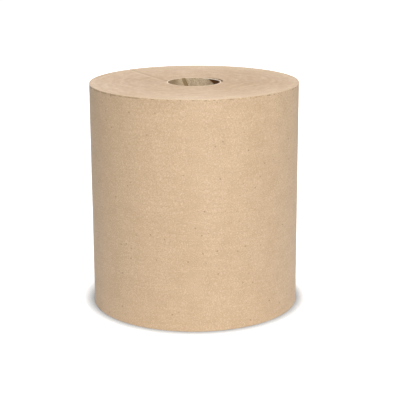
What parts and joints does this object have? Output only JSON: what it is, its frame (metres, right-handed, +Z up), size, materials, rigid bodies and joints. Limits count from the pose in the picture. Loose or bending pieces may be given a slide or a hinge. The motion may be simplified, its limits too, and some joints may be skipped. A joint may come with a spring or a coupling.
{
  "type": "paper towel roll",
  "caption": "Wide round roll of natural brown kraft paper towel, wound hard on a spiral board core and standing on one flat end.",
  "frame": {"origin": "middle of the foot, the end that the roll stands on", "axes": "+Z up along the roll's axis, the pictured front faces -Y, +X to its right"},
  "size_m": [0.1846, 0.1848, 0.2],
  "materials": {
    "kraft_paper": "matte, uncoated",
    "core_board": "matte, uncoated"
  },
  "bodies": {
    "root": {"towel_roll": "kraft_paper", "core_tube": "core_board"}
  },
  "joints": []
}
